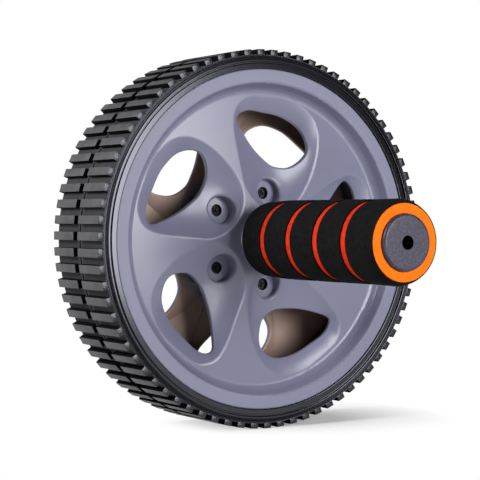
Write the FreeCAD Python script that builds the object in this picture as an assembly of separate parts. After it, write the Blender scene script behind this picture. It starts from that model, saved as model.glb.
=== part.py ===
"""Ab wheel roller: a split plastic wheel with two rubber tyres, turning on a steel axle between two foam grips.

Millimetres. The origin is the wheel's centre, the axle lies along Y and +Z is up. The near side is -Y.
Each near piece is drawn with its axis along +Z, as seen from outside: x to the right, y up and z outboard
from the wheel's middle plane. It is then turned so that outboard is -Y, and the far piece is turned to +Y.
"""
import FreeCAD
import Part
import math
import os
from FreeCAD import Vector

# Wheel half: rim, step and spoke plate, from the middle plane outboard
RIM_RADIUS = 85.3
RIM_HALF_WIDTH = 24.3
RING_INNER_RADIUS = 78.3
STEP_MIDDLE_RADIUS = 75.9
STEP_MIDDLE_DROP = 5.8
STEP_INNER_RADIUS = 74.0
SPOKE_PLANE = 16.8
WHEEL_WALL = 3.0
RIM_CORNER = 0.8
RING_EDGE_ROUND = 1.2
STEP_MIDDLE_ROUND = 7.0
STEP_FOOT_ROUND = 2.8
HUB_RADIUS = 15.0

# Leaf-shaped dishes pressed into the spoke plate, each with a window through it
DISH_COUNT = 5
DISH_INNER_RADIUS = 16.0
DISH_OUTER_RADIUS = 72.5
DISH_LEAD_WIDTH = 20.0
DISH_TRAIL_WIDTH = 33.0
WINDOW_INNER_RADIUS = 39.0
WINDOW_OUTER_RADIUS = 64.0
WINDOW_LEAD_WIDTH = 15.0
WINDOW_TRAIL_WIDTH = 29.7
WINDOW_EDGE_ROUND = 0.8
CREASE_ROUND = 2.5
DISH_INNER_DEPTH = 6.0
DISH_LEAD_DEPTH = 2.4
DISH_TRAIL_DEPTH = 3.2
DISH_OUTER_DEPTH = 4.0
DISH_HOLLOW = 0.9
DISH_SWELL = 0.25
DISH_TAIL_HOLLOW = 3.4
FAR_DISH_LAG = 7.5

# Screw posts, counterbored in the near half and blind in the far half
POST_CIRCLE = 24.6
POST_RADIUS = 9.0
POST_MOUTH_RADIUS = 6.9
POST_MOUTH_ROUND = 1.4
POST_FLOOR = 7.4
HEAD_POCKET_RADIUS = 3.1
SCREW_LEDGE = 3.0
SCREW_RADIUS = 1.6
SCREW_REACH = 11.0
SCREW_HEAD_RADIUS = 2.8
SCREW_HEAD_HEIGHT = 2.4
SCREW_CLEARANCE = 0.1
PILOT_CLEARANCE = 0.03
PILOT_SPARE = 1.0
DRIVE_RECESS_LENGTH = 3.6
DRIVE_RECESS_WIDTH = 0.8
DRIVE_RECESS_DEPTH = 1.2

# Tyres, one on each half
TREAD_RADIUS = 95.0
TREAD_ROOT_RADIUS = 92.4
TREAD_BLOCKS = 75
BLOCK_WIDTH = 4.2
BLOCK_INNER_END = 1.6
BLOCK_OUTER_END = 24.2
BLOCK_SINK = 0.7
TYRE_SLIT = 1.0
TYRE_HALF_WIDTH = 24.3
TYRE_CORNER = 0.5
SIDE_GROOVE_INNER = 88.2
BEAD_INNER = 88.8
BEAD_OUTER = 90.3
SIDE_GROOVE_OUTER = 90.9
SIDE_GROOVE_DEPTH = 0.7
SIDE_GROOVE_CORNER = 0.25
BEAD_RISE = 0.6
BEAD_ROUND_SHARE = 0.45
TYRE_KEY_WIDTH = 3.0
TYRE_KEY_DEPTH = 1.0
TYRE_KEY_PLACE = 12.0
TYRE_SEAT_CLEARANCE = 0.05

# Axle, bushes and washers
AXLE_RADIUS = 6.0
AXLE_WALL = 1.5
AXLE_HALF_LENGTH = 118.0
BUSH_WALL = 2.5
BUSH_CLEARANCE = 0.05
BUSH_INNER_END = 2.0
BUSH_FLANGE_RADIUS = 11.0
BUSH_FLANGE = 1.6
WASHER_RADIUS = 10.0
WASHER_THICKNESS = 1.2
WASHER_CLEARANCE = 0.15
SIDE_PLAY = 0.3

# Handle core, end cap and foam grip
CORE_RADIUS = 12.9
CORE_WALL = 2.4
CORE_SLEEVE_WALL = 2.0
CORE_CLEARANCE = 0.03
CORE_RIB_COUNT = 4
CORE_RIB_WIDTH = 2.0
COLLAR_RADIUS = 10.5
CORE_FLANGE_RADIUS = 16.0
CORE_FLANGE = 3.0
GRIP_START = 29.2
GRIP_LENGTH = 106.2
GRIP_RADIUS = 19.35
GRIP_START_RADIUS = 18.5
BAND_THICKNESS = 0.8
BAND_COUNT = 5
GROOVE_WIDTH = 4.2
GROOVE_PITCH = 22.2
FIRST_GROOVE = 19.0
FOAM_CLEARANCE = 0.05
END_TAPER = 4.0
END_TAPER_ROUND = 8.0
END_RING_RADIUS = 17.5
END_BAND_WIDTH = 0.35
CAP_RISE = 2.2
CAP_ROUND = 1.4
CAP_SPIGOT_LENGTH = 9.0
CAP_SPIGOT_WALL = 2.0
CAP_CLEARANCE = 0.05
VENT_RADIUS = 3.1

# Sizes that follow from the ones above
HUB_BORE = AXLE_RADIUS + BUSH_CLEARANCE + BUSH_WALL
WASHER_START = SPOKE_PLANE + BUSH_FLANGE + SIDE_PLAY
CORE_START = WASHER_START + WASHER_THICKNESS
GRIP_END = GRIP_START + GRIP_LENGTH
SLEEVE_RADIUS = GRIP_RADIUS - BAND_THICKNESS
GRIP_SHRINK = GRIP_RADIUS - GRIP_START_RADIUS
FIRST_BAND_END = GRIP_START + FIRST_GROOVE - GROOVE_WIDTH / 2
BLOCK_PITCH_ANGLE = 360.0 / TREAD_BLOCKS

# Cutters run past what they cut. A dish's face runs past its crease and its window by a share of its width.
# An edge to be rounded counts as a rim if its length is within a share of the rim's own, and as lying on a plane
# or a circle if its points are this close to it.
CUTTER_SPARE = 1.0
CUTTER_HEIGHT = 15.0
DISH_OVERRUN = 0.1
RIM_MATCH = 0.1
EDGE_MATCH = 0.01
EDGE_POINTS = 7

TURN = 360.0
QUARTER = 90.0
ORIGIN = Vector(0, 0, 0)
X_AXIS = Vector(1, 0, 0)
Z_AXIS = Vector(0, 0, 1)


def polar(radius, degrees, height=0.0):
    angle = math.radians(degrees)
    return Vector(radius * math.cos(angle), radius * math.sin(angle), height)


def cylinder(radius, low, high, centre=ORIGIN):
    return Part.makeCylinder(radius, high - low, centre + Vector(0, 0, low))


def ring(outer, inner, low, high):
    """A tube about the axis. The bore's cutter is longer than the tube, so no faces coincide."""
    return cylinder(outer, low, high).cut(cylinder(inner, low - CUTTER_SPARE, high + CUTTER_SPARE))


def turned(corners):
    """Solid turned about the axis from a closed outline of (radius, height, corner round) points."""
    edges = []
    points = [Vector(radius, 0, height) for radius, height, rounding in corners]
    starts = []
    for index, point in enumerate(points):
        rounding = corners[index][2]
        back = (points[index - 1] - point).normalize()
        ahead = (points[(index + 1) % len(points)] - point).normalize()
        half_angle = back.getAngle(ahead) / 2
        setback = rounding / math.tan(half_angle)
        arc_start = point + back * setback
        arc_end = point + ahead * setback
        starts.append((arc_start, arc_end))
        if rounding:
            middle = (back + ahead).normalize() * (rounding / math.sin(half_angle) - rounding)
            edges.append((index, Part.Arc(arc_start, point + middle, arc_end).toShape()))
    lines = []
    for index in range(len(points)):
        start = starts[index][1]
        end = starts[(index + 1) % len(points)][0]
        lines.append((index + 0.5, Part.makeLine(start, end)))
    ordered = [edge for place, edge in sorted(edges + lines, key=lambda item: item[0])]
    return Part.Face(Part.Wire(ordered)).revolve(ORIGIN, Z_AXIS, TURN)


def around(shape, count, first=0.0):
    """Copies of a shape, evenly spaced about the axis."""
    copies = []
    for index in range(count):
        copy = shape.copy()
        copy.rotate(ORIGIN, Z_AXIS, first + index * TURN / count)
        copies.append(copy)
    return copies


# One dish, drawn with its post on +Y. Each row is a place on the outline of the leaf or of its window: how
# far it stands to the lead side (positive) or the trail side (negative), and how far out from the hub, as
# shares of that outline's widths and length. Rows with the same number lie across the dish from each other.
DISH_ROWS = (
    (0.00, 1.00),
    (-0.61, 0.94),
    (-0.91, 0.85),
    (-1.00, 0.735),
    (-0.94, 0.56),
    (-0.79, 0.40),
    (-0.61, 0.225),
    (-0.45, 0.10),
    (0.00, 0.00),
    (0.61, 0.08),
    (0.95, 0.35),
    (1.00, 0.57),
    (0.88, 0.80),
    (0.55, 0.94),
)
WINDOW_ROWS = (
    (-0.07, 1.00),
    (-0.57, 0.93),
    (-0.89, 0.81),
    (-1.00, 0.64),
    (-0.84, 0.42),
    (-0.57, 0.22),
    (-0.32, 0.09),
    (-0.13, 0.02),
    (0.07, 0.00),
    (0.40, 0.04),
    (0.77, 0.20),
    (1.00, 0.48),
    (0.85, 0.74),
    (0.47, 0.92),
)


def leaf_points(rows, lead, trail, inner, outer):
    points = []
    for side, along in rows:
        width = lead if side > 0 else trail
        points.append(Vector(side * width, inner + along * (outer - inner), 0))
    return points


def window_depth(side, along):
    """Depth of the window's edge under the spoke plate: deep at the hub end, shallow at the two sides."""
    end_depth = DISH_INNER_DEPTH + along * (DISH_OUTER_DEPTH - DISH_INNER_DEPTH)
    side_depth = DISH_LEAD_DEPTH if side > 0 else DISH_TRAIL_DEPTH
    return end_depth + side * side * (side_depth - end_depth)


def dish_hollow(crease_point, depth):
    """How far the dish sags under a straight slope: in its narrow tail at the hub it sags most, and towards its
    outer end it swells over it by a share of its depth, so that it rolls into the window."""
    along = (crease_point.y - DISH_INNER_RADIUS) / (DISH_OUTER_RADIUS - DISH_INNER_RADIUS)
    sag = DISH_HOLLOW + (DISH_TAIL_HOLLOW - DISH_HOLLOW) * (1 - along) ** 2
    return sag - along * (DISH_HOLLOW + DISH_SWELL * depth)


def chord_steps(first, second):
    """Shared curve parameters for two closed outlines, from the mean length of their chords."""
    steps = [0.0]
    for index in range(len(first)):
        following = (index + 1) % len(first)
        chord = (first[following] - first[index]).Length + (second[following] - second[index]).Length
        steps.append(steps[-1] + chord)
    return steps


def closed_curve(points, steps):
    """Smooth closed curve through points. Its direction where it closes comes from the points on both sides."""
    last_step = steps[-1] - steps[-2]
    first_step = steps[1] - steps[0]
    arriving = (points[0] - points[-1]) * (first_step / last_step)
    leaving = (points[1] - points[0]) * (last_step / first_step)
    direction = (arriving + leaving) * (1 / (last_step + first_step))
    curve = Part.BSplineCurve()
    curve.interpolate(
        Points=points,
        PeriodicFlag=True,
        Parameters=steps,
        Tangents=[direction] * len(points),
        TangentFlags=[True] + [False] * (len(points) - 1),
        Scale=False,
    )
    return curve


def dish_outlines():
    crease = leaf_points(DISH_ROWS, DISH_LEAD_WIDTH, DISH_TRAIL_WIDTH, DISH_INNER_RADIUS, DISH_OUTER_RADIUS)
    window = leaf_points(
        WINDOW_ROWS, WINDOW_LEAD_WIDTH, WINDOW_TRAIL_WIDTH, WINDOW_INNER_RADIUS, WINDOW_OUTER_RADIUS
    )
    return crease, window, chord_steps(crease, window)


def dish_face(crease_overrun, window_overrun, drop=0.0):
    """Curved face of one dish, run past its crease and its window's edge by shares of its width."""
    crease, window, steps = dish_outlines()
    upper = []
    middle = []
    lower = []
    run = 1 + crease_overrun + window_overrun
    for high, low, (side, along) in zip(crease, window, WINDOW_ROWS):
        depth = window_depth(side, along)
        hollow = Vector(0, 0, 2 * dish_hollow(high, depth))
        high = high + Vector(0, 0, SPOKE_PLANE - drop)
        low = low + Vector(0, 0, SPOKE_PLANE - drop - depth)
        start = high + (high - low) * crease_overrun + hollow * (crease_overrun * (1 + crease_overrun))
        slope = low - high - hollow * (1 + 2 * crease_overrun)
        end = low + (low - high) * window_overrun + hollow * (window_overrun * (1 + window_overrun))
        upper.append(start)
        middle.append(start + slope * (run / 2))
        lower.append(end)
    curves = [closed_curve(row, steps) for row in (upper, middle, lower)]
    poles = [list(column) for column in zip(*[curve.getPoles() for curve in curves])]
    surface = Part.BSplineSurface()
    surface.buildFromPolesMultsKnots(
        poles, curves[0].getMultiplicities(), [3, 3], curves[0].getKnots(), [0.0, 1.0], True, False, 3, 2
    )
    return surface.toShape()


def window_cutter():
    crease, window, steps = dish_outlines()
    edge = closed_curve(window, steps).toShape()
    return Part.Face(Part.Wire(edge)).extrude(Vector(0, 0, SPOKE_PLANE))


def rim_edges(shape, outline, steps):
    """Closed edges of a shape that are about as long as an outline."""
    length = closed_curve(outline, steps).length()
    return [edge for edge in shape.Edges if edge.isClosed() and abs(edge.Length / length - 1) < RIM_MATCH]


def crease_edges(shape):
    """The dishes' creases: rims that lie in the face of the spoke plate."""
    crease, window, steps = dish_outlines()
    rims = rim_edges(shape, crease, steps)
    return [edge for edge in rims if abs(edge.CenterOfMass.z - SPOKE_PLANE) < EDGE_MATCH]


def window_edges(shape):
    """The windows' rims on both faces of the wall."""
    crease, window, steps = dish_outlines()
    return rim_edges(shape, window, steps)


def mouth_edges(shape):
    """The edges round the mouths of the posts: above the floor, at a mouth's radius from a post's middle."""
    found = []
    for edge in shape.Edges:
        points = edge.discretize(EDGE_POINTS)
        if min(point.z for point in points) < POST_FLOOR + EDGE_MATCH:
            continue
        for index in range(DISH_COUNT):
            middle = polar(POST_CIRCLE, index * TURN / DISH_COUNT)
            reach = [math.hypot(point.x - middle.x, point.y - middle.y) for point in points]
            if max(abs(distance - POST_MOUTH_RADIUS) for distance in reach) < EDGE_MATCH:
                found.append(edge)
    return found


def wheel_blank(dish_turn):
    """Shell of one wheel half with its dishes, windows and solid posts."""
    step_run = RING_INNER_RADIUS - STEP_INNER_RADIUS
    step_rise = RIM_HALF_WIDTH - SPOKE_PLANE
    wall_shift = WHEEL_WALL * (math.hypot(step_run, step_rise) - step_run) / step_rise
    barrel = RIM_RADIUS - WHEEL_WALL
    key_low = TYRE_KEY_PLACE - TYRE_KEY_WIDTH / 2
    key_high = TYRE_KEY_PLACE + TYRE_KEY_WIDTH / 2
    key_floor = RIM_RADIUS - TYRE_KEY_DEPTH
    shell = turned((
        (HUB_BORE, 0, 0),
        (HUB_RADIUS, 0, 0),
        (HUB_RADIUS, SPOKE_PLANE - WHEEL_WALL, 0),
        (STEP_INNER_RADIUS + wall_shift, SPOKE_PLANE - WHEEL_WALL, 0),
        (RING_INNER_RADIUS + wall_shift, RIM_HALF_WIDTH - WHEEL_WALL, 0),
        (barrel, RIM_HALF_WIDTH - WHEEL_WALL, 0),
        (barrel, 0, 0),
        (RIM_RADIUS, 0, 0),
        (RIM_RADIUS, key_low, 0),
        (key_floor, key_low, 0),
        (key_floor, key_high, 0),
        (RIM_RADIUS, key_high, 0),
        (RIM_RADIUS, RIM_HALF_WIDTH, RIM_CORNER),
        (RING_INNER_RADIUS, RIM_HALF_WIDTH, RING_EDGE_ROUND),
        (STEP_MIDDLE_RADIUS, RIM_HALF_WIDTH - STEP_MIDDLE_DROP, STEP_MIDDLE_ROUND),
        (STEP_INNER_RADIUS, SPOKE_PLANE, STEP_FOOT_ROUND),
        (HUB_BORE, SPOKE_PLANE, 0),
    ))
    post = cylinder(POST_RADIUS, 0, SPOKE_PLANE - WHEEL_WALL / 2, polar(POST_CIRCLE, 0))
    wall = dish_face(-DISH_OVERRUN / 2, DISH_OVERRUN / 2, WHEEL_WALL)
    wall = wall.extrude(Vector(0, 0, WHEEL_WALL + CUTTER_SPARE))
    cut = dish_face(DISH_OVERRUN, DISH_OVERRUN).extrude(Vector(0, 0, CUTTER_HEIGHT))
    leaf_turn = dish_turn - QUARTER
    blank = shell.fuse(around(post, DISH_COUNT) + around(wall, DISH_COUNT, leaf_turn))
    blank = blank.cut(around(cut, DISH_COUNT, leaf_turn))
    blank = blank.cut(around(window_cutter(), DISH_COUNT, leaf_turn))
    hub_bore = cylinder(HUB_BORE, -CUTTER_SPARE, SPOKE_PLANE + CUTTER_SPARE)
    blank = blank.cut(hub_bore).removeSplitter()
    blank = blank.makeFillet(WINDOW_EDGE_ROUND, window_edges(blank))
    return blank.makeFillet(CREASE_ROUND, crease_edges(blank))


def near_wheel_half():
    place = polar(POST_CIRCLE, 0)
    mouth = cylinder(POST_MOUTH_RADIUS, POST_FLOOR, SPOKE_PLANE + CUTTER_SPARE, place)
    pocket = cylinder(HEAD_POCKET_RADIUS, SCREW_LEDGE, POST_FLOOR + CUTTER_SPARE, place)
    shank = cylinder(SCREW_RADIUS + SCREW_CLEARANCE, -CUTTER_SPARE, SCREW_LEDGE + CUTTER_SPARE, place)
    bore = mouth.fuse([pocket, shank])
    half = wheel_blank(0).cut(around(bore, DISH_COUNT))
    return half.makeFillet(POST_MOUTH_ROUND, mouth_edges(half))


def far_wheel_half():
    pilot_radius = SCREW_RADIUS + PILOT_CLEARANCE
    pilot = cylinder(pilot_radius, -CUTTER_SPARE, SCREW_REACH + PILOT_SPARE, polar(POST_CIRCLE, 0))
    return wheel_blank(FAR_DISH_LAG).cut(around(pilot, DISH_COUNT))


def wheel_screws():
    """Five cross-head screws, from their ledges in the near posts down into the far posts."""
    head = cylinder(SCREW_HEAD_RADIUS, SCREW_LEDGE, SCREW_LEDGE + SCREW_HEAD_HEIGHT)
    shank = cylinder(SCREW_RADIUS, -SCREW_REACH, SCREW_LEDGE)
    screw = head.fuse(shank)
    slot = Part.makeBox(DRIVE_RECESS_LENGTH, DRIVE_RECESS_WIDTH, DRIVE_RECESS_DEPTH + CUTTER_SPARE)
    slot_floor = SCREW_LEDGE + SCREW_HEAD_HEIGHT - DRIVE_RECESS_DEPTH
    slot.translate(Vector(-DRIVE_RECESS_LENGTH / 2, -DRIVE_RECESS_WIDTH / 2, slot_floor))
    cross = slot.copy()
    cross.rotate(ORIGIN, Z_AXIS, QUARTER)
    screw = screw.cut([slot, cross])
    screw.translate(polar(POST_CIRCLE, 0))
    return Part.makeCompound(around(screw, DISH_COUNT))


def tyre():
    """Rubber band with a keyed seat, a beaded sidewall and one row of tread blocks. The band's seam is turned to
    the middle of a gap, clear of the blocks."""
    seat = RIM_RADIUS + TYRE_SEAT_CLEARANCE
    key = RIM_RADIUS - TYRE_KEY_DEPTH + TYRE_SEAT_CLEARANCE
    key_low = TYRE_KEY_PLACE - TYRE_KEY_WIDTH / 2 + TYRE_SEAT_CLEARANCE
    key_high = TYRE_KEY_PLACE + TYRE_KEY_WIDTH / 2 - TYRE_SEAT_CLEARANCE
    groove_floor = TYRE_HALF_WIDTH - SIDE_GROOVE_DEPTH
    bead_top = TYRE_HALF_WIDTH + BEAD_RISE
    bead_round = (BEAD_OUTER - BEAD_INNER) * BEAD_ROUND_SHARE
    band = turned((
        (seat, TYRE_SLIT / 2, 0),
        (seat, key_low, 0),
        (key, key_low, 0),
        (key, key_high, 0),
        (seat, key_high, 0),
        (seat, TYRE_HALF_WIDTH, TYRE_CORNER),
        (SIDE_GROOVE_INNER, TYRE_HALF_WIDTH, SIDE_GROOVE_CORNER),
        (SIDE_GROOVE_INNER, groove_floor, 0),
        (BEAD_INNER, groove_floor, 0),
        (BEAD_INNER, bead_top, bead_round),
        (BEAD_OUTER, bead_top, bead_round),
        (BEAD_OUTER, groove_floor, 0),
        (SIDE_GROOVE_OUTER, groove_floor, 0),
        (SIDE_GROOVE_OUTER, TYRE_HALF_WIDTH, SIDE_GROOVE_CORNER),
        (TREAD_ROOT_RADIUS, TYRE_HALF_WIDTH, TYRE_CORNER),
        (TREAD_ROOT_RADIUS, TYRE_SLIT / 2, 0),
    ))
    band.rotate(ORIGIN, Z_AXIS, -QUARTER - BLOCK_PITCH_ANGLE / 2)
    block_foot = TREAD_ROOT_RADIUS - BLOCK_SINK
    block = Part.makeBox(TREAD_RADIUS - block_foot, BLOCK_WIDTH, BLOCK_OUTER_END - BLOCK_INNER_END)
    block.translate(Vector(block_foot, -BLOCK_WIDTH / 2, BLOCK_INNER_END))
    return band.fuse(around(block, TREAD_BLOCKS, -QUARTER))


def hub_bush():
    bore = AXLE_RADIUS + BUSH_CLEARANCE
    sleeve = ring(HUB_BORE, bore, BUSH_INNER_END, SPOKE_PLANE + BUSH_FLANGE)
    return sleeve.fuse(ring(BUSH_FLANGE_RADIUS, bore, SPOKE_PLANE, SPOKE_PLANE + BUSH_FLANGE)).removeSplitter()


def axle():
    return ring(AXLE_RADIUS, AXLE_RADIUS - AXLE_WALL, -AXLE_HALF_LENGTH, AXLE_HALF_LENGTH)


def washer():
    return ring(WASHER_RADIUS, AXLE_RADIUS + WASHER_CLEARANCE, WASHER_START, CORE_START)


def handle_core():
    """Handle moulding: a collar and a flange at the hub, an outer tube, and a ribbed sleeve for the axle."""
    bore = AXLE_RADIUS + CORE_CLEARANCE
    hollow = CORE_RADIUS - CORE_WALL
    sleeve = bore + CORE_SLEEVE_WALL
    flange_start = GRIP_START - CORE_FLANGE
    core = ring(COLLAR_RADIUS, bore, CORE_START, flange_start)
    core = core.fuse(ring(CORE_FLANGE_RADIUS, bore, flange_start, GRIP_START))
    core = core.fuse(ring(CORE_RADIUS, hollow, flange_start, GRIP_END))
    core = core.fuse(ring(sleeve, bore, flange_start, AXLE_HALF_LENGTH))
    web = (sleeve + bore) / 2
    rib_reach = (CORE_RADIUS + hollow) / 2 - web
    rib = Part.makeBox(rib_reach, CORE_RIB_WIDTH, AXLE_HALF_LENGTH - flange_start)
    rib.translate(Vector(web, -CORE_RIB_WIDTH / 2, flange_start))
    return core.fuse(around(rib, CORE_RIB_COUNT)).removeSplitter()


def end_cap():
    """Plug with a rounded face, a spigot in the core and a vent hole through the middle."""
    spigot = CORE_RADIUS - CORE_WALL - CAP_CLEARANCE
    face = GRIP_END + CAP_RISE
    return turned((
        (VENT_RADIUS, GRIP_END, 0),
        (spigot - CAP_SPIGOT_WALL, GRIP_END, 0),
        (spigot - CAP_SPIGOT_WALL, GRIP_END - CAP_SPIGOT_LENGTH, 0),
        (spigot, GRIP_END - CAP_SPIGOT_LENGTH, 0),
        (spigot, GRIP_END, 0),
        (CORE_RADIUS, GRIP_END, 0),
        (CORE_RADIUS, face, CAP_ROUND),
        (VENT_RADIUS, face, 0),
    ))


def grip_sleeve():
    """Orange foam tube, narrower under the first band and tapered to the ring that shows at its outer end."""
    bore = CORE_RADIUS + FOAM_CLEARANCE
    return turned((
        (bore, GRIP_START, 0),
        (SLEEVE_RADIUS - GRIP_SHRINK, GRIP_START, 0),
        (SLEEVE_RADIUS, FIRST_BAND_END, 0),
        (SLEEVE_RADIUS, GRIP_END - END_TAPER, 0),
        (END_RING_RADIUS, GRIP_END, 0),
        (bore, GRIP_END, 0),
    ))


def first_band():
    """Black foam band beside the wheel, which widens away from the flange."""
    bore = SLEEVE_RADIUS + FOAM_CLEARANCE
    return turned((
        (bore - GRIP_SHRINK, GRIP_START, 0),
        (GRIP_START_RADIUS, GRIP_START, 0),
        (GRIP_RADIUS, FIRST_BAND_END, 0),
        (bore, FIRST_BAND_END, 0),
    ))


def last_band(low):
    """Black foam band at the outer end, which closes in over the sleeve's taper."""
    bore = SLEEVE_RADIUS + FOAM_CLEARANCE
    end_bore = END_RING_RADIUS + FOAM_CLEARANCE
    return turned((
        (bore, low, 0),
        (GRIP_RADIUS, low, 0),
        (GRIP_RADIUS, GRIP_END - END_TAPER, END_TAPER_ROUND),
        (end_bore + END_BAND_WIDTH, GRIP_END, 0),
        (end_bore, GRIP_END, 0),
        (bore, GRIP_END - END_TAPER, 0),
    ))


def grip_band(index):
    """One black foam band, from the groove before it to the groove after it."""
    if index == 0:
        return first_band()
    low = FIRST_BAND_END + GROOVE_WIDTH + (index - 1) * GROOVE_PITCH
    if index == BAND_COUNT - 1:
        return last_band(low)
    return ring(GRIP_RADIUS, SLEEVE_RADIUS + FOAM_CLEARANCE, low, low + GROOVE_PITCH - GROOVE_WIDTH)


def on_near_side(shape):
    shape.rotate(ORIGIN, X_AXIS, QUARTER)
    return shape


def on_far_side(shape):
    """Turn a piece to the far side about the vertical, so that the same tread block stays lowest."""
    shape = on_near_side(shape)
    shape.rotate(ORIGIN, Z_AXIS, TURN / 2)
    return shape


def flipped_to_far_side(shape):
    """Turn a wheel half over about X, so that its posts meet the near posts."""
    shape.rotate(ORIGIN, X_AXIS, -QUARTER)
    return shape


nodes = {
    "near_wheel_half": on_near_side(near_wheel_half()),
    "far_wheel_half": flipped_to_far_side(far_wheel_half()),
    "wheel_screws": on_near_side(wheel_screws()),
    "axle": on_near_side(axle()),
}
for name, make in (
    ("tyre", tyre),
    ("hub_bush", hub_bush),
    ("washer", washer),
    ("handle_core", handle_core),
    ("end_cap", end_cap),
    ("grip_sleeve", grip_sleeve),
):
    nodes["near_" + name] = on_near_side(make())
    nodes["far_" + name] = on_far_side(make())
for band in range(BAND_COUNT):
    nodes["near_grip_band_%d" % (band + 1)] = on_near_side(grip_band(band))
    nodes["far_grip_band_%d" % (band + 1)] = on_far_side(grip_band(band))

os.makedirs("parts", exist_ok=True)
for name, shape in nodes.items():
    shape.exportStep(os.path.join("parts", name + ".step"))
    box = shape.BoundBox
    print("%-18s solids %d valid %s volume %.1f  x %.2f %.2f  y %.2f %.2f  z %.2f %.2f" % (
        name, len(shape.Solids), shape.isValid(), shape.Volume,
        box.XMin, box.XMax, box.YMin, box.YMax, box.ZMin, box.ZMax,
    ))
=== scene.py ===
import bpy
import math
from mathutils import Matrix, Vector


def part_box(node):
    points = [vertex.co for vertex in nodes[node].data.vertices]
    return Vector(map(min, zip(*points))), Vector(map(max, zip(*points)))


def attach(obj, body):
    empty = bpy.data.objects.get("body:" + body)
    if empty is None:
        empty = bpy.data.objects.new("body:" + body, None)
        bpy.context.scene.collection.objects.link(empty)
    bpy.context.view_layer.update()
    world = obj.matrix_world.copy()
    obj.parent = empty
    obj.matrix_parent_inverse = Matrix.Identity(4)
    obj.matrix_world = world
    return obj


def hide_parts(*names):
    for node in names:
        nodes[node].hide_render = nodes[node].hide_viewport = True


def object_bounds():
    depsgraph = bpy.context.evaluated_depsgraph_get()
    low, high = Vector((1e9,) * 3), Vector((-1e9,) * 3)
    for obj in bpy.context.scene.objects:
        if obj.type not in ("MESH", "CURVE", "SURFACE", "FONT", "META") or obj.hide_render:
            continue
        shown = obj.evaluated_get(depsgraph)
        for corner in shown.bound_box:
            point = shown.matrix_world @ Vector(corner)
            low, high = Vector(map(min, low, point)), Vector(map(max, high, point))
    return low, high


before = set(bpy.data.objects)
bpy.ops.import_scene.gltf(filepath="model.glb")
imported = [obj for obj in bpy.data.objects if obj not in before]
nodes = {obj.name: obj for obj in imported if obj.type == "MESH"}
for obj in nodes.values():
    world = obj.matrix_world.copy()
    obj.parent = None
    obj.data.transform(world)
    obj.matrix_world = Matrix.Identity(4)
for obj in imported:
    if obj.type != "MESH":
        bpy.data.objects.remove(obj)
cad_low, cad_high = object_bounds()
bpy.context.scene.view_settings.view_transform = "Standard"


# Axle and washers.
# The axle is a drawn steel tube that both handles are pressed onto, and a thin stamped washer on each side
# keeps the turning hub off the handle. Both are zinc plated, which leaves a dull, slightly cloudy bloom.
ZINC_DARK = (0.33, 0.34, 0.36)
ZINC_LIGHT = (0.52, 0.53, 0.55)
GRAIN_DETAIL = 2.0
MOTTLE_DETAIL = 4.0
NOISE_ROUGHNESS = 0.6
MOTTLE_LOW = 0.3
MOTTLE_HIGH = 0.7


def set_inputs(tree, node, inputs):
    """Put plain values or the outputs of other nodes on a node's input sockets."""
    for socket, value in inputs.items():
        if isinstance(value, bpy.types.NodeSocket):
            tree.links.new(value, node.inputs[socket])
        else:
            node.inputs[socket].default_value = value


def add_node(tree, kind, inputs=None, **settings):
    """A node with its settings and inputs."""
    node = tree.nodes.new(kind)
    for name, value in settings.items():
        setattr(node, name, value)
    set_inputs(tree, node, inputs or {})
    return node


def add_math(tree, operation, *values):
    """The result of a sum on numbers, each a plain one or the output of another node."""
    return add_node(tree, "ShaderNodeMath", dict(enumerate(values)), operation=operation).outputs[0]


def add_range(tree, source, low, high, start=0.0, end=1.0):
    """A number that goes from low to high as its source goes from start to end."""
    limits = {"Value": source, "From Min": start, "From Max": end, "To Min": low, "To Max": high}
    return add_node(tree, "ShaderNodeMapRange", limits, clamp=True).outputs["Result"]


def add_tint(tree, source, dark, light, start=MOTTLE_LOW, end=MOTTLE_HIGH):
    """A colour that goes from dark to light as its source goes from start to end."""
    ramp = add_node(tree, "ShaderNodeValToRGB", {"Fac": source})
    for point, place, colour in zip(ramp.color_ramp.elements, (start, end), (dark, light)):
        point.position = place
        point.color = (*colour, 1.0)
    return ramp.outputs["Color"]


def add_bump(tree, height, depth, strength, base=None):
    """The normal of a surface that is raised by a height, over a base normal where one is given."""
    bump = add_node(tree, "ShaderNodeBump", {"Height": height, "Distance": depth, "Strength": strength})
    if base is not None:
        tree.links.new(base, bump.inputs["Normal"])
    return bump.outputs["Normal"]


def make_group(name, inputs, outputs):
    """An empty shader group with number sockets, and its two end nodes."""
    tree = bpy.data.node_groups.new(name, "ShaderNodeTree")
    for socket in inputs:
        tree.interface.new_socket(socket, in_out="INPUT", socket_type="NodeSocketFloat")
    for socket in outputs:
        tree.interface.new_socket(socket, in_out="OUTPUT", socket_type="NodeSocketFloat")
    return tree, tree.nodes.new("NodeGroupInput"), tree.nodes.new("NodeGroupOutput")


def make_surface_grain():
    """Fine grain for a bump and slow mottling for colour and gloss, both from sizes in metres."""
    tree, given, result = make_group("surface_grain", ("Grain Size", "Mottle Size"), ("Grain", "Mottle"))
    place = add_node(tree, "ShaderNodeTexCoord").outputs["Object"]
    for output, detail in (("Grain", GRAIN_DETAIL), ("Mottle", MOTTLE_DETAIL)):
        noise = add_node(tree, "ShaderNodeTexNoise", {
            "Vector": place,
            "Scale": add_math(tree, "DIVIDE", 1.0, given.outputs[output + " Size"]),
            "Detail": detail,
            "Roughness": NOISE_ROUGHNESS,
        })
        tree.links.new(noise.outputs["Fac"], result.inputs[output])
    return tree


SURFACE_GRAIN = make_surface_grain()


def add_grain(tree, grain_size, mottle_size):
    """The surface grain in a material, as its grain and its mottling."""
    sizes = {"Grain Size": grain_size, "Mottle Size": mottle_size}
    surface = add_node(tree, "ShaderNodeGroup", sizes, node_tree=SURFACE_GRAIN)
    return surface.outputs["Grain"], surface.outputs["Mottle"]


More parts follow.
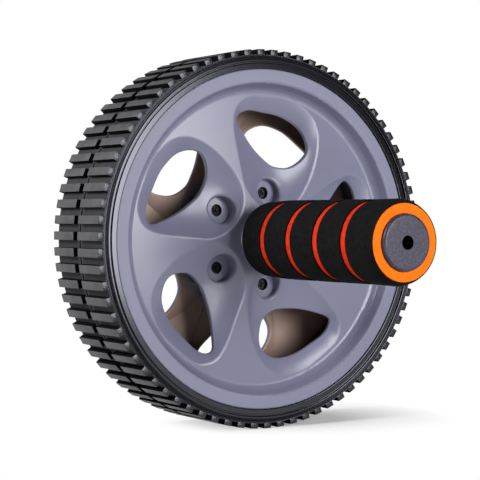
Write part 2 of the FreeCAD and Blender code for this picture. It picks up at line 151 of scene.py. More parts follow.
def make_material(name, metallic=0.0, specular=0.5):
    """A new material, its node tree and its shader, with the values that are the same all over it."""
    material = bpy.data.materials.new(name)
    material.use_nodes = True
    shader = material.node_tree.nodes["Principled BSDF"]
    shader.inputs["Metallic"].default_value = metallic
    shader.inputs["Specular IOR Level"].default_value = specular
    return material, material.node_tree, shader


def make_grained(name, dark, light, roughness, grain_size, mottle_size, depth, strength, metallic=0.0):
    """A plain grained finish: two colours and a range of roughness that follow the mottling."""
    material, tree, shader = make_material(name, metallic)
    grain, mottle = add_grain(tree, grain_size, mottle_size)
    set_inputs(tree, shader, {
        "Base Color": add_tint(tree, mottle, dark, light),
        "Roughness": add_range(tree, mottle, *roughness, MOTTLE_LOW, MOTTLE_HIGH),
        "Normal": add_bump(tree, grain, depth, strength),
    })
    return material


def dress(material, *names):
    """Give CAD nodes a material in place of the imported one."""
    for name in names:
        nodes[name].data.materials.clear()
        nodes[name].data.materials.append(material)


zinc_plate = make_grained(
    "zinc_plate", ZINC_DARK, ZINC_LIGHT, roughness=(0.32, 0.5), metallic=1.0,
    grain_size=0.0004, mottle_size=0.006, depth=0.00005, strength=0.25,
)
dress(zinc_plate, "axle", "near_washer", "far_washer")


# Hub bushes.
# Two flanged acetal bushes, moulded in off-white and pressed into the wheel's hub, one from each side. The
# wheel turns on them.
ACETAL_DARK = (0.56, 0.54, 0.5)
ACETAL_LIGHT = (0.68, 0.66, 0.61)
acetal = make_grained(
    "acetal", ACETAL_DARK, ACETAL_LIGHT, roughness=(0.36, 0.48),
    grain_size=0.0005, mottle_size=0.008, depth=0.00004, strength=0.2,
)
dress(acetal, "near_hub_bush", "far_hub_bush")


# Wheel halves.
# Two injection moulded shells in lilac grey, screwed together back to back. The rim ring is satin, and the
# spoke plates are glossier and shaded as a very flat dome. The inside is tinted brown as painted shade, and
# the screw pockets are darkened as painted shade.
PLASTIC_DARK = (0.162, 0.166, 0.242)
PLASTIC_LIGHT = (0.172, 0.176, 0.256)
PLASTIC_GRAIN = 0.0005
PLASTIC_MOTTLE = 0.03
PLASTIC_GRAIN_DEPTH = 0.00003
PLASTIC_GRAIN_STRENGTH = 0.25
PLATE_ROUGHNESS = (0.283, 0.305)
RING_ROUGHNESS = (0.46, 0.5)
RING_FROM = 0.0766
RING_FULL = 0.0782
PLATE_DOME = 0.07
# Painted shade: a brown tint on the shells' inward faces past the screw posts.
INSIDE_SHADE_DARK = (0.28, 0.18, 0.14)
INSIDE_SHADE_LIGHT = (0.36, 0.27, 0.235)
INSIDE_ROUGHNESS = 0.5
INSIDE_SHADE_FROM = 0.034
INSIDE_SHADE_FULL = 0.038
INWARD_FULL = -0.7
INWARD_FROM = -0.1
# Painted shade: a dark colour deep in the screw pockets.
POCKET_SHADE = (0.02, 0.016, 0.016)
POCKET_FLOOR = 0.0066
POCKET_MOUTH = 0.0073
ACROSS_AXLE = (1.0, 0.0, 1.0)


def add_mix(tree, kind, share, first, second):
    """A blend of two numbers or two colours, each a plain one or the output of another node."""
    inputs = {"Factor": share, "A": first, "B": second}
    return add_node(tree, "ShaderNodeMix", inputs, data_type=kind).outputs["Result"]


def add_vector_math(tree, operation, *values, result="Value"):
    """The result of a sum on vectors, each a plain one or the output of another node."""
    vectors = dict(enumerate(values))
    return add_node(tree, "ShaderNodeVectorMath", vectors, operation=operation).outputs[result]


def add_across(tree):
    """The vector to a point of the surface from the axle line, square to it."""
    place = add_node(tree, "ShaderNodeTexCoord").outputs["Object"]
    return add_vector_math(tree, "MULTIPLY", place, ACROSS_AXLE, result="Vector")


def add_along(tree, source):
    """How far a point lies along the axle line, or how far its face looks along it."""
    place = add_node(tree, "ShaderNodeTexCoord").outputs[source]
    return add_node(tree, "ShaderNodeSeparateXYZ", {0: place}).outputs["Y"]


def add_outboard(tree):
    """How far a face looks away from the wheel's middle plane, from -1 to 1."""
    side = add_math(tree, "SIGN", add_along(tree, "Object"))
    return add_math(tree, "MULTIPLY", side, add_along(tree, "Normal"))


def make_wheel_plastic():
    """The shells' plastic: a satin ring, glossier plates, brown painted shade inside, dark painted shade in
    the pockets.
    """
    material, tree, shader = make_material("satin_wheel_plastic")
    grain, mottle = add_grain(tree, PLASTIC_GRAIN, PLASTIC_MOTTLE)
    radius = add_vector_math(tree, "LENGTH", add_across(tree))
    from_middle = add_math(tree, "ABSOLUTE", add_along(tree, "Object"))

    # The inward faces past the posts take a brown tint: painted shade.
    inward = add_range(tree, add_outboard(tree), 1.0, 0.0, INWARD_FULL, INWARD_FROM)
    past_posts = add_range(tree, radius, 0.0, 1.0, INSIDE_SHADE_FROM, INSIDE_SHADE_FULL)
    inside_shade = add_math(tree, "MULTIPLY", inward, past_posts)
    # The bottom of the screw pockets takes a dark colour: painted shade.
    sunk = add_range(tree, from_middle, 1.0, 0.0, POCKET_FLOOR, POCKET_MOUTH)
    pocket = add_math(tree, "MULTIPLY", sunk, add_range(tree, past_posts, 1.0, 0.0))
    on_ring = add_range(tree, radius, 0.0, 1.0, RING_FROM, RING_FULL)

    moulded = add_tint(tree, mottle, PLASTIC_DARK, PLASTIC_LIGHT)
    inside_shade_tint = add_tint(tree, mottle, INSIDE_SHADE_DARK, INSIDE_SHADE_LIGHT)
    colour = add_mix(tree, "RGBA", pocket, moulded, (*POCKET_SHADE, 1.0))
    plate = add_range(tree, mottle, *PLATE_ROUGHNESS, MOTTLE_LOW, MOTTLE_HIGH)
    ring = add_range(tree, mottle, *RING_ROUGHNESS, MOTTLE_LOW, MOTTLE_HIGH)
    rough = add_mix(tree, "FLOAT", on_ring, plate, ring)
    fall = add_math(tree, "MULTIPLY", add_math(tree, "MINIMUM", radius, RING_FROM), -PLATE_DOME)
    dome = add_bump(tree, fall, 1.0, 1.0)
    set_inputs(tree, shader, {
        "Base Color": add_mix(tree, "RGBA", inside_shade, colour, inside_shade_tint),
        "Roughness": add_mix(tree, "FLOAT", inside_shade, rough, INSIDE_ROUGHNESS),
        "Normal": add_bump(tree, grain, PLASTIC_GRAIN_DEPTH, PLASTIC_GRAIN_STRENGTH, dome),
    })
    return material


dress(make_wheel_plastic(), "near_wheel_half", "far_wheel_half")


# Wheel screws.
# Five steel cross-head screws with a black oxide finish, coloured darker still as painted shade. They sit
# deep in the posts of the near half and clamp the two halves together.
# Painted shade: these colours are darker than black oxide itself, so the screws sink into the pockets'
# shade.
OXIDE_AND_SHADE_DARK = (0.003, 0.0028, 0.0026)
OXIDE_AND_SHADE_LIGHT = (0.008, 0.0075, 0.007)
black_oxide_and_shade = make_grained(
    "black_oxide_and_shade", OXIDE_AND_SHADE_DARK, OXIDE_AND_SHADE_LIGHT, roughness=(0.35, 0.55), metallic=0.6,
    grain_size=0.0003, mottle_size=0.002, depth=0.00003, strength=0.3,
)
dress(black_oxide_and_shade, "wheel_screws")


# Tyres.
# Each wheel half carries a moulded rubber tyre: a smooth band with a bead round its sidewall and one row of
# straight blocks. The blocks' tops are grey and matt from use, their cut ends are coarse and shiny, and the
# blocks' sides and the gap floors are darker and duller, as painted shade.
SIDES = (("near", -1), ("far", 1))
FULL_TURN = 2 * math.pi
AXLE_LINE = (0.0, 1.0, 0.0)
MERGE_GAP = 0.000001
tyre_low, tyre_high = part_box("near_tyre")
TREAD_RADIUS = -tyre_low.z
TYRE_INNER_END = -tyre_high.y
ROOT_RADIUS = 0.0924
SEAT_RADIUS = 0.08535
TYRE_FACE = 0.0243
WALL_FACE = 0.025
GROOVE_INNER = 0.088
BEAD_INNER = 0.0889
BEAD_OUTER = 0.0899
GROOVE_OUTER = 0.0909
GROOVE_FLOOR = 0.0238
BEAD_TOP = 0.0254
CORNER = 0.00024
CORNER_LEAD = 1.2
CORNER_ROOM = 0.4
BAND_STEPS = 300
BLOCK_COUNT = 75
BLOCK_WIDTH = 0.0042
BLOCK_SINK = 0.0007
BLOCK_FOOT = ROOT_RADIUS - BLOCK_SINK
BLOCK_INNER_END = 0.0022
BLOCK_OUTER_END = 0.0242
BLOCK_EDGE = 0.00022
EDGE_SEGMENTS = 2
RUBBER_SMOOTH = math.radians(35)


def only(piece):
    """Make one object active and the only one selected."""
    bpy.ops.object.select_all(action="DESELECT")
    piece.select_set(True)
    bpy.context.view_layer.objects.active = piece


def apply_modifier(piece, kind, **settings):
    """Put a modifier with its settings on a piece and apply it."""
    modifier = piece.modifiers.new(kind.lower(), kind)
    for name, value in settings.items():
        setattr(modifier, name, value)
    only(piece)
    bpy.ops.object.modifier_apply(modifier=modifier.name)


def ease(outline, size):
    """Round the corners of a closed outline, each as far as its two sides have room for. A lead point before
    and after each corner keeps the shading of the flat sides flat."""
    points = []
    for before, corner, after in zip((outline[-1], *outline), outline, (*outline[1:], outline[0])):
        sides = []
        for other in (before, after):
            share = min(size / math.dist(corner, other), CORNER_ROOM)
            for reach in (share, share * CORNER_LEAD):
                sides.append([place + (target - place) * reach for place, target in zip(corner, other)])
        start, lead_in, end, lead_out = sides
        middle = [(first + 2 * place + last) / 4 for first, place, last in zip(start, corner, end)]
        points.extend((lead_in, start, middle, end, lead_out))
    return points


def spin_ring(name, outline, steps, side):
    """A ring about the axle line, spun from a closed outline of (radius, distance outboard) points."""
    bpy.ops.object.select_all(action="DESELECT")
    bpy.ops.mesh.primitive_circle_add(vertices=len(outline), fill_type="NOTHING")
    piece = bpy.context.object
    piece.name = piece.data.name = name
    for vertex, (radius, outboard) in zip(piece.data.vertices, outline):
        vertex.co = (radius, side * outboard, 0.0)
    bpy.ops.object.mode_set(mode="EDIT")
    bpy.ops.mesh.select_all(action="SELECT")
    bpy.ops.mesh.spin(steps=steps, angle=FULL_TURN, center=(0, 0, 0), axis=AXLE_LINE)
    bpy.ops.mesh.select_all(action="SELECT")
    bpy.ops.mesh.remove_doubles(threshold=MERGE_GAP)
    bpy.ops.mesh.normals_make_consistent(inside=False)
    bpy.ops.object.mode_set(mode="OBJECT")
    return piece


def make_blocks(side):
    """One tread block with bevelled edges, copied round the axle line."""
    length = BLOCK_OUTER_END - BLOCK_INNER_END
    middle = (BLOCK_OUTER_END + BLOCK_INNER_END) / 2
    bpy.ops.object.select_all(action="DESELECT")
    bpy.ops.mesh.primitive_cube_add(
        size=1.0,
        location=(0.0, side * middle, -(TREAD_RADIUS + BLOCK_FOOT) / 2),
        scale=(BLOCK_WIDTH, length, TREAD_RADIUS - BLOCK_FOOT),
    )
    blocks = bpy.context.object
    bpy.ops.object.transform_apply(location=True, rotation=True, scale=True)
    apply_modifier(blocks, "BEVEL", width=BLOCK_EDGE, segments=EDGE_SEGMENTS, limit_method="ANGLE")
    bpy.ops.object.mode_set(mode="EDIT")
    bpy.ops.mesh.select_all(action="SELECT")
    bpy.ops.mesh.spin(steps=BLOCK_COUNT, dupli=True, angle=FULL_TURN, center=(0, 0, 0), axis=AXLE_LINE)
    bpy.ops.mesh.select_all(action="SELECT")
    bpy.ops.mesh.remove_doubles(threshold=MERGE_GAP)
    bpy.ops.object.mode_set(mode="OBJECT")
    return blocks


def make_tyre(name, side):
    """A tyre's band, with the bead on its sidewall, joined with its tread blocks."""
    band = spin_ring(name, ease((
        (SEAT_RADIUS, TYRE_INNER_END),
        (SEAT_RADIUS, WALL_FACE),
        (GROOVE_INNER, WALL_FACE),
        (GROOVE_INNER, GROOVE_FLOOR),
        (BEAD_INNER, GROOVE_FLOOR),
        (BEAD_INNER, BEAD_TOP),
        (BEAD_OUTER, BEAD_TOP),
        (BEAD_OUTER, GROOVE_FLOOR),
        (GROOVE_OUTER, GROOVE_FLOOR),
        (GROOVE_OUTER, TYRE_FACE),
        (ROOT_RADIUS, TYRE_FACE),
        (ROOT_RADIUS, TYRE_INNER_END),
    ), CORNER), BAND_STEPS, side)
    blocks = make_blocks(side)
    blocks.select_set(True)
    band.select_set(True)
    bpy.context.view_layer.objects.active = band
    bpy.ops.object.join()
    return band


RUBBER_SHEEN = (0.84, 0.85, 1.0, 1.0)
RUBBER_GRAIN = 0.0007
RUBBER_MOTTLE = 0.007
RUBBER_GRAIN_DEPTH = 0.0005
RUBBER_GRAIN_STRENGTH = 0.6
WIDE_FADE = 0.0006
NARROW_FADE = 0.0002
# Painted shade: the blocks' sides take the gap colour, gloss and roughness, and the gap floors part of them.
GAP_SHADE_COLOUR = (0.0025, 0.0025, 0.003)
GAP_ROUGHNESS = 0.9
GAP_GLOSS = 0.06
TREAD_DARK = (0.03, 0.03, 0.0305)
TREAD_LIGHT = (0.054, 0.054, 0.0545)
TREAD_ROUGHNESS = 0.55
TREAD_GLOSS = 0.5
TREAD_COARSENESS = 0.3
TREAD_FROM = 0.5
TREAD_FULL = 0.85
TREAD_TOP_START = TREAD_RADIUS - WIDE_FADE
GAP_FLOOR_END = ROOT_RADIUS + WIDE_FADE
# How much of the tread's look the gap floors keep; the rest is painted shade.
GAP_FLOOR_SHADING = 0.5
WALL_DARK = (0.003, 0.003, 0.004)
WALL_LIGHT = (0.005, 0.005, 0.0065)
WALL_ROUGHNESS = 0.15
WALL_GLOSS = 0.62
OUTER_WALL_GLOSS = 0.2
OUTER_WALL_FROM = BEAD_OUTER - NARROW_FADE
OUTER_WALL_FULL = BEAD_OUTER + NARROW_FADE
WALL_COARSENESS = 0.0
WALL_FROM = 0.2
WALL_FULL = 0.5
CUT_DARK = (0.004, 0.004, 0.0045)
CUT_LIGHT = (0.009, 0.009, 0.0095)
CUT_GRAIN_LOW = 0.42
CUT_GRAIN_HIGH = 0.6
CUT_ROUGHNESS = 0.27
CUT_GLOSS = 0.5
CUT_COARSENESS = 0.45
CUT_FROM = 0.7
CUT_FULL = 0.9
CUT_FOOT_FROM = ROOT_RADIUS - WIDE_FADE
CUT_FOOT_FULL = ROOT_RADIUS - NARROW_FADE


def make_rubber():
    """Tyre rubber that looks different on block tops, sidewall and cut block ends, with painted shade in the
    gaps.
    """
    material, tree, shader = make_material("tyre_rubber")
    grain, mottle = add_grain(tree, RUBBER_GRAIN, RUBBER_MOTTLE)
    across = add_across(tree)
    radius = add_vector_math(tree, "LENGTH", across)
    outboard = add_outboard(tree)
    away = add_vector_math(tree, "NORMALIZE", across, result="Vector")
    facing = add_node(tree, "ShaderNodeTexCoord").outputs["Normal"]
    raised = add_vector_math(tree, "DOT_PRODUCT", away, facing)

    # Faces that don't look outward, the blocks' sides, get painted shade, and the gap floors get part of it.
    outward = add_range(tree, raised, 0.0, 1.0, TREAD_FROM, TREAD_FULL)
    gap_floor_shading = add_range(tree, radius, GAP_FLOOR_SHADING, 1.0, GAP_FLOOR_END, TREAD_TOP_START)
    on_tread = add_math(tree, "MULTIPLY", outward, gap_floor_shading)
    on_wall = add_range(tree, outboard, 0.0, 1.0, WALL_FROM, WALL_FULL)
    past_root = add_range(tree, radius, 0.0, 1.0, CUT_FOOT_FROM, CUT_FOOT_FULL)
    on_cut = add_math(tree, "MULTIPLY", past_root, add_range(tree, outboard, 0.0, 1.0, CUT_FROM, CUT_FULL))

    def by_face(kind, gap, tread, wall, cut):
        """One number or colour for each kind of face of the tyre."""
        blend = add_mix(tree, kind, on_tread, gap, tread)
        blend = add_mix(tree, kind, on_wall, blend, wall)
        return add_mix(tree, kind, on_cut, blend, cut)

    tread = add_tint(tree, mottle, TREAD_DARK, TREAD_LIGHT)
    wall = add_tint(tree, mottle, WALL_DARK, WALL_LIGHT)
    cut = add_tint(tree, grain, CUT_DARK, CUT_LIGHT, CUT_GRAIN_LOW, CUT_GRAIN_HIGH)
    wall_gloss = add_range(tree, radius, WALL_GLOSS, OUTER_WALL_GLOSS, OUTER_WALL_FROM, OUTER_WALL_FULL)
    coarseness = by_face("FLOAT", TREAD_COARSENESS, TREAD_COARSENESS, WALL_COARSENESS, CUT_COARSENESS)
    height = add_math(tree, "MULTIPLY", grain, coarseness)
    set_inputs(tree, shader, {
        "Base Color": by_face("RGBA", (*GAP_SHADE_COLOUR, 1.0), tread, wall, cut),
        "Roughness": by_face("FLOAT", GAP_ROUGHNESS, TREAD_ROUGHNESS, WALL_ROUGHNESS, CUT_ROUGHNESS),
        "Specular IOR Level": by_face("FLOAT", GAP_GLOSS, TREAD_GLOSS, wall_gloss, CUT_GLOSS),
        "Specular Tint": RUBBER_SHEEN,
        "Normal": add_bump(tree, height, RUBBER_GRAIN_DEPTH, RUBBER_GRAIN_STRENGTH),
    })
    return material


def finish_piece(piece, material, smooth, body, slot, *replaced):
    only(piece)
    bpy.ops.object.transform_apply(location=True, rotation=True, scale=True)
    bpy.ops.object.shade_smooth_by_angle(angle=smooth)
    piece.data.materials.clear()
    piece.data.materials.append(material)
    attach(piece, body)
    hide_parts(*replaced)


rubber = make_rubber()
for side_name, side in SIDES:
    tyre = make_tyre(side_name + "_rubber_tyre", side)
    finish_piece(tyre, rubber, RUBBER_SMOOTH, "wheel", "tyre_rubber", side_name + "_tyre")


# Handle cores.
# A ribbed black moulding on each end of the axle, with a collar towards the hub. The foam grip is pushed
# over it, so only the collar and its flange show in the gap beside the wheel.
CORE_DARK = (0.012, 0.012, 0.013)
CORE_LIGHT = (0.02, 0.02, 0.021)
core_plastic = make_grained(
    "core_plastic", CORE_DARK, CORE_LIGHT, roughness=(0.4, 0.55),
    grain_size=0.0004, mottle_size=0.01, depth=0.00004, strength=0.3,
)
dress(core_plastic, "near_handle_core", "far_handle_core")


# Grip sleeves.
# A thick tube of orange foam pushed over each core. It shows at the bottom of the grooves, coloured a darker
# red there as painted shade, and as a bright clean cut ring at the outer end.
sleeve_low, sleeve_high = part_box("near_grip_sleeve")
first_band_low, first_band_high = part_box("near_grip_band_1")
GRIP_START = -sleeve_high.y
GRIP_END = -sleeve_low.y
FIRST_BAND_END = -first_band_low.y
GRIP_SHRINK = 0.00085
SLEEVE_INNER = 0.01295
SLEEVE_RADIUS = sleeve_high.x
SLEEVE_START_RADIUS = SLEEVE_RADIUS - GRIP_SHRINK
END_RING_RADIUS = 0.0175
END_TAPER = 0.004
GRIP_STEPS = 160
FOAM_STEP = 0.0007
FOAM_EDGE = 0.00025
FOAM_EDGE_ANGLE = math.radians(50)
FOAM_SMOOTH = math.radians(50)
DENT_SIZE = 0.0035
DENT_DEPTH = 0.00012
DENT_DETAIL = 2


def foam_outline(outside, inside):
    """Closed outline of a foam tube's wall, with points along its outside close enough to be dented."""
    points = [outside[0]]
    for start, end in zip(outside, outside[1:]):
        count = max(1, round(math.dist(start, end) / FOAM_STEP))
        for index in range(1, count + 1):
            share = index / count
            points.append((start[0] + (end[0] - start[0]) * share, start[1] + (end[1] - start[1]) * share))
    return [*points, *inside]


def make_foam_tube(name, side, outside, inside):
    """A foam tube from the (radius, distance outboard) corners of its outside, and back along its inside.
    Its edges are soft and its surface is pushed in and out unevenly."""
    tube = spin_ring(name, foam_outline(outside, inside), GRIP_STEPS, side)
    edge = {"width": FOAM_EDGE, "segments": EDGE_SEGMENTS, "angle_limit": FOAM_EDGE_ANGLE}
    apply_modifier(tube, "BEVEL", limit_method="ANGLE", **edge)
    dents = bpy.data.textures.new(name + "_dents", "CLOUDS")
    dents.noise_scale = DENT_SIZE
    dents.noise_depth = DENT_DETAIL
    apply_modifier(tube, "DISPLACE", texture=dents, texture_coords="LOCAL", strength=DENT_DEPTH)
    return tube


CLOUDS_PER_METRE = 350.0
CLOUD_DETAIL = 4.0
OPEN_CELL_FROM = 0.93
OPEN_CELL_FULL = 0.95


def make_foam_cells():
    """Foam cells of a size in metres: how far they stand up, which are open pores, and a slow mottling."""
    tree, given, result = make_group("foam_cells", ("Cell Size",), ("Height", "Pores", "Mottle"))
    place = add_node(tree, "ShaderNodeTexCoord").outputs["Object"]
    frequency = add_math(tree, "DIVIDE", 1.0, given.outputs["Cell Size"])
    cells = add_node(tree, "ShaderNodeTexVoronoi", {"Vector": place, "Scale": frequency})
    each = add_node(tree, "ShaderNodeSeparateColor", {0: cells.outputs["Color"]})
    clouds = add_node(tree, "ShaderNodeTexNoise", {
        "Vector": place,
        "Scale": CLOUDS_PER_METRE,
        "Detail": CLOUD_DETAIL,
        "Roughness": NOISE_ROUGHNESS,
    })
    set_inputs(tree, result, {
        "Height": cells.outputs["Distance"],
        "Pores": add_range(tree, each.outputs[0], 0.0, 1.0, OPEN_CELL_FROM, OPEN_CELL_FULL),
        "Mottle": clouds.outputs["Fac"],
    })
    return tree


FOAM_CELLS = make_foam_cells()
END_DARK = (0.87, 0.148, 0.006)
END_LIGHT = (0.91, 0.162, 0.008)
END_FROM = 0.5
END_FULL = 0.8
# Painted shade: the darker red of the sleeve's side, which shows only at the bottom of the grooves.
GROOVE_SHADE_DARK = (0.42, 0.015, 0.004)
GROOVE_SHADE_LIGHT = (0.62, 0.033, 0.007)
ORANGE_PORE = (0.5, 0.06, 0.008)
ORANGE_PORE_SHARE = 0.35
ORANGE_CELL = 0.0005
ORANGE_CELL_DEPTH = 0.0001
ORANGE_CELL_STRENGTH = 0.35
ORANGE_ROUGHNESS = 0.85
ORANGE_GLOSS = 0.06


def make_orange_foam():
    """The sleeve's foam: darker red painted shade on its side, where it shows in the grooves, bright ends,
    open pores.
    """
    material, tree, shader = make_material("orange_foam", specular=ORANGE_GLOSS)
    foam = add_node(tree, "ShaderNodeGroup", {"Cell Size": ORANGE_CELL}, node_tree=FOAM_CELLS)
    facing_end = add_math(tree, "ABSOLUTE", add_along(tree, "Normal"))
    on_end = add_range(tree, facing_end, 0.0, 1.0, END_FROM, END_FULL)
    # Faces that don't look along the axle, the groove floors, get the darker red of painted shade.
    groove_shade = add_tint(tree, foam.outputs["Mottle"], GROOVE_SHADE_DARK, GROOVE_SHADE_LIGHT)
    end = add_tint(tree, foam.outputs["Mottle"], END_DARK, END_LIGHT)
    colour = add_mix(tree, "RGBA", on_end, groove_shade, end)
    pores = add_range(tree, foam.outputs["Pores"], 0.0, ORANGE_PORE_SHARE)
    set_inputs(tree, shader, {
        "Base Color": add_mix(tree, "RGBA", pores, colour, (*ORANGE_PORE, 1.0)),
        "Roughness": ORANGE_ROUGHNESS,
        "Normal": add_bump(tree, foam.outputs["Height"], ORANGE_CELL_DEPTH, ORANGE_CELL_STRENGTH),
    })
    return material


orange_foam = make_orange_foam()
for side_name, side in SIDES:
    sleeve = make_foam_tube(side_name + "_orange_sleeve", side, (
        (SLEEVE_START_RADIUS, GRIP_START),
        (SLEEVE_RADIUS, FIRST_BAND_END),
        (SLEEVE_RADIUS, GRIP_END - END_TAPER),
        (END_RING_RADIUS, GRIP_END),
    ), (
        (SLEEVE_INNER, GRIP_END),
        (SLEEVE_INNER, GRIP_START),
    ))
    finish_piece(sleeve, orange_foam, FOAM_SMOOTH, "handles", "orange_foam", side_name + "_grip_sleeve")


# Grip bands.
# A thin black foam skin is bonded over the orange sleeve and cut away at four grooves, which leaves five
# bands. The foam is matt, with open cells on its surface and slightly uneven edges at the cuts.
BAND_COUNT = 5
BAND_CLEARANCE = 0.00005
BAND_RADIUS = first_band_high.x
BAND_START_RADIUS = BAND_RADIUS - GRIP_SHRINK
BAND_INNER = SLEEVE_RADIUS + BAND_CLEARANCE
BAND_START_INNER = BAND_INNER - GRIP_SHRINK
BAND_END_RADIUS = 0.0179
BAND_END_INNER = END_RING_RADIUS + BAND_CLEARANCE
BAND_END_FLARE = 0.0002
BAND_END_ROUND = 0.0055
BAND_END_STEPS = 8
BAND_FLARE_LENGTH = 0.014


def band_corners(number, low, high):
    """Corners of a band's outside and inside. The first band widens from the hub, and the last flares a
    little and then closes in at its end."""
    if number == 1:
        outside = ((BAND_START_RADIUS, low), (BAND_RADIUS, high))
        return outside, ((BAND_INNER, high), (BAND_START_INNER, low))
    if number < BAND_COUNT:
        outside = ((BAND_RADIUS, low), (BAND_RADIUS, high))
        return outside, ((BAND_INNER, high), (BAND_INNER, low))
    outside = [(BAND_RADIUS, low), (BAND_RADIUS, high - BAND_FLARE_LENGTH)]
    for index in range(BAND_END_STEPS + 1):
        share = index / BAND_END_STEPS
        drop = (BAND_RADIUS + BAND_END_FLARE - BAND_END_RADIUS) * share ** 2
        outside.append((BAND_RADIUS + BAND_END_FLARE - drop, high - BAND_END_ROUND * (1 - share)))
    return outside, ((BAND_END_INNER, high), (BAND_INNER, high - END_TAPER), (BAND_INNER, low))


BLACK_DARK = (0.004, 0.004, 0.004)
BLACK_LIGHT = (0.008, 0.0079, 0.0079)
BLACK_PORE = (0.003, 0.003, 0.003)
BLACK_CELL = 0.00055
BLACK_CELL_DEPTH = 0.0002
BLACK_CELL_STRENGTH = 0.5
BLACK_ROUGHNESS = 0.9
BLACK_GLOSS = 0.05


def make_black_foam():
    """The bands' foam: matt and slightly mottled, with open pores."""
    material, tree, shader = make_material("black_foam", specular=BLACK_GLOSS)
    foam = add_node(tree, "ShaderNodeGroup", {"Cell Size": BLACK_CELL}, node_tree=FOAM_CELLS)
    colour = add_tint(tree, foam.outputs["Mottle"], BLACK_DARK, BLACK_LIGHT)
    set_inputs(tree, shader, {
        "Base Color": add_mix(tree, "RGBA", foam.outputs["Pores"], colour, (*BLACK_PORE, 1.0)),
        "Roughness": BLACK_ROUGHNESS,
        "Normal": add_bump(tree, foam.outputs["Height"], BLACK_CELL_DEPTH, BLACK_CELL_STRENGTH),
    })
    return material


black_foam = make_black_foam()
for side_name, side in SIDES:
    for number in range(1, BAND_COUNT + 1):
        solid = f"{side_name}_grip_band_{number}"
        low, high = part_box(solid)
        near_end, far_end = sorted((abs(low.y), abs(high.y)))
        outside, inside = band_corners(number, near_end, min(far_end, GRIP_END))
        band = make_foam_tube(f"{side_name}_black_band_{number}", side, outside, inside)
        finish_piece(band, black_foam, FOAM_SMOOTH, "handles", "black_foam", solid)


# End caps.
# A dark grey plug pressed into the end of each core, moulded with a glittering fleck and a spark-eroded
# texture, with a vent hole through its middle.
CAP_DARK = (0.0105, 0.0096, 0.026)
CAP_LIGHT = (0.017, 0.0156, 0.038)
CAP_ROUGHNESS = (0.35, 0.5)
CAP_GLOSS = 0.45
CAP_GRAIN = 0.0004
CAP_MOTTLE = 0.004
CAP_GRAIN_DEPTH = 0.00009
CAP_GRAIN_STRENGTH = 0.5
FLECK = (0.1, 0.092, 0.145)
FLECKS_PER_METRE = 2800.0
FLECK_FROM = 0.8
FLECK_FULL = 0.95
FLECK_SHARE = 0.6
VENT_INNER = 0.0031
VENT_EDGE = 0.0033
VENT_SHADE = (0.002, 0.002, 0.002)


def make_cap_plastic():
    """The caps' plastic: shiny flecks on the face, and black painted shade inside the vent hole."""
    material, tree, shader = make_material("flecked_cap_plastic")
    grain, mottle = add_grain(tree, CAP_GRAIN, CAP_MOTTLE)
    radius = add_vector_math(tree, "LENGTH", add_across(tree))
    # Inside the vent hole the colour is near black and the gloss nil: painted shade.
    in_vent = add_range(tree, radius, 1.0, 0.0, VENT_INNER, VENT_EDGE)
    place = add_node(tree, "ShaderNodeTexCoord").outputs["Object"]
    flecks = add_node(tree, "ShaderNodeTexVoronoi", {"Vector": place, "Scale": FLECKS_PER_METRE})
    each = add_node(tree, "ShaderNodeSeparateColor", {0: flecks.outputs["Color"]})
    shiny = add_range(tree, each.outputs[0], 0.0, FLECK_SHARE, FLECK_FROM, FLECK_FULL)
    colour = add_mix(tree, "RGBA", shiny, add_tint(tree, mottle, CAP_DARK, CAP_LIGHT), (*FLECK, 1.0))
    set_inputs(tree, shader, {
        "Base Color": add_mix(tree, "RGBA", in_vent, colour, (*VENT_SHADE, 1.0)),
        "Roughness": add_range(tree, mottle, *CAP_ROUGHNESS, MOTTLE_LOW, MOTTLE_HIGH),
        "Specular IOR Level": add_range(tree, in_vent, CAP_GLOSS, 0.0),
        "Normal": add_bump(tree, grain, CAP_GRAIN_DEPTH, CAP_GRAIN_STRENGTH),
    })
    return material


dress(make_cap_plastic(), "near_end_cap", "far_end_cap")


# Studio.
# A pale floor that fades to white round the wheel's shadow, a soft box low in front to the right, a second
# one higher on the left, and a white surround. The camera stands to the left of the axle, just above its
# height.
FLOOR_SIZE = 8.0
FLOOR_COLOUR = 0.95
FLOOR_BOUNCE = 0.5
FLOOR_LIFT = 0.12
SHADE_MIDDLE = (0.036, 0.0, 0.0)
SHADE_INNER = 0.02
SHADE_OUTER = 0.08

bpy.ops.object.select_all(action="DESELECT")
bpy.ops.mesh.primitive_plane_add(size=FLOOR_SIZE, location=(0.0, 0.0, cad_low.z))
floor = bpy.context.object
floor.name = "studio_floor"
floor_paint = bpy.data.materials.new("studio_floor_paint")
floor_paint.use_nodes = True
paint = floor_paint.node_tree
paint.nodes.clear()
ray = add_node(paint, "ShaderNodeLightPath")
shown = add_math(paint, "MAXIMUM", ray.outputs["Is Camera Ray"], ray.outputs["Is Glossy Ray"])
tone = add_range(paint, shown, FLOOR_BOUNCE, FLOOR_COLOUR)
coat = add_node(paint, "ShaderNodeBsdfDiffuse", {"Color": tone})
lift = add_node(paint, "ShaderNodeEmission", {"Strength": add_range(paint, shown, 0.0, FLOOR_LIFT)})
lit = add_node(paint, "ShaderNodeAddShader", {0: coat.outputs[0], 1: lift.outputs[0]})
white = add_node(paint, "ShaderNodeEmission")
place = add_node(paint, "ShaderNodeTexCoord").outputs["Object"]
from_shade = add_vector_math(paint, "DISTANCE", place, SHADE_MIDDLE)
past_shade = add_range(paint, from_shade, 0.0, 1.0, SHADE_INNER, SHADE_OUTER)
faded = add_math(paint, "MULTIPLY", past_shade, shown)
fade = add_node(paint, "ShaderNodeMixShader", {"Fac": faded, 1: lit.outputs[0], 2: white.outputs[0]})
add_node(paint, "ShaderNodeOutputMaterial", {"Surface": fade.outputs[0]})
floor.data.materials.append(floor_paint)

WHITE = (1.0, 1.0, 1.0, 1.0)
FRONT_LIGHT = 0.1
BACK_LIGHT = 0.8
FRONT_END = -0.3
BACK_START = 0.25
TOP_LIGHT = 0.3
SIDE_END = 0.15
TOP_START = 0.5

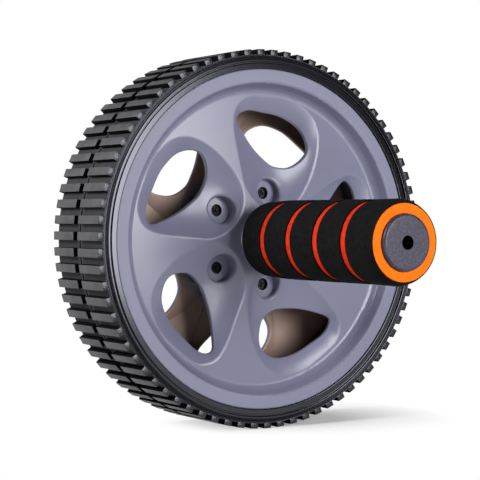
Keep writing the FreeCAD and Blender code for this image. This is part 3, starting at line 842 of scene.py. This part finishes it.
world = bpy.data.worlds.new("white_studio")
bpy.context.scene.world = world
world.use_nodes = True
sky = world.node_tree
ray = add_node(sky, "ShaderNodeLightPath")
through = add_math(sky, "MAXIMUM", ray.outputs["Is Camera Ray"], ray.outputs["Is Transmission Ray"])
towards = add_node(sky, "ShaderNodeTexCoord").outputs["Generated"]
direction = add_node(sky, "ShaderNodeSeparateXYZ", {0: towards})
behind = add_range(sky, direction.outputs["Y"], FRONT_LIGHT, BACK_LIGHT, FRONT_END, BACK_START)
overhead = add_range(sky, direction.outputs["Z"], 1.0, TOP_LIGHT, SIDE_END, TOP_START)
around = add_math(sky, "MULTIPLY", behind, overhead)
set_inputs(sky, sky.nodes["Background"], {
    "Color": WHITE,
    "Strength": add_mix(sky, "FLOAT", through, around, 1.0),
})


def add_soft_box(name, place, size, power):
    """A rectangular lamp at a place, turned to face the wheel."""
    lamp = bpy.data.lights.new(name, "AREA")
    lamp.shape = "RECTANGLE"
    lamp.size, lamp.size_y = size
    lamp.energy = power
    holder = bpy.data.objects.new(name, lamp)
    holder.location = place
    holder.rotation_euler = (-Vector(place)).to_track_quat("-Z", "Y").to_euler()
    holder.visible_camera = False
    bpy.context.scene.collection.objects.link(holder)


add_soft_box("front_soft_box", place=(0.205, -1.06, 0.19), size=(0.6, 0.56), power=12.5)
add_soft_box("left_soft_box", place=(-0.95, 0.06, 0.6), size=(0.7, 0.4), power=17.0)

CAMERA_PLACE = (-0.4239, -0.6806, 0.0128)
CAMERA_AZIMUTH = math.radians(-31.83)
CAMERA_TILT = math.radians(90 - 0.97)
LENS_LENGTH = 116.9
SENSOR_WIDTH = 36.0
lens = bpy.data.cameras.new("photo_camera")
lens.lens = LENS_LENGTH
lens.sensor_width = SENSOR_WIDTH
camera = bpy.data.objects.new("photo_camera", lens)
camera.location = CAMERA_PLACE
camera.rotation_euler = (CAMERA_TILT, 0.0, CAMERA_AZIMUTH)
bpy.context.scene.collection.objects.link(camera)
bpy.context.scene.camera = camera
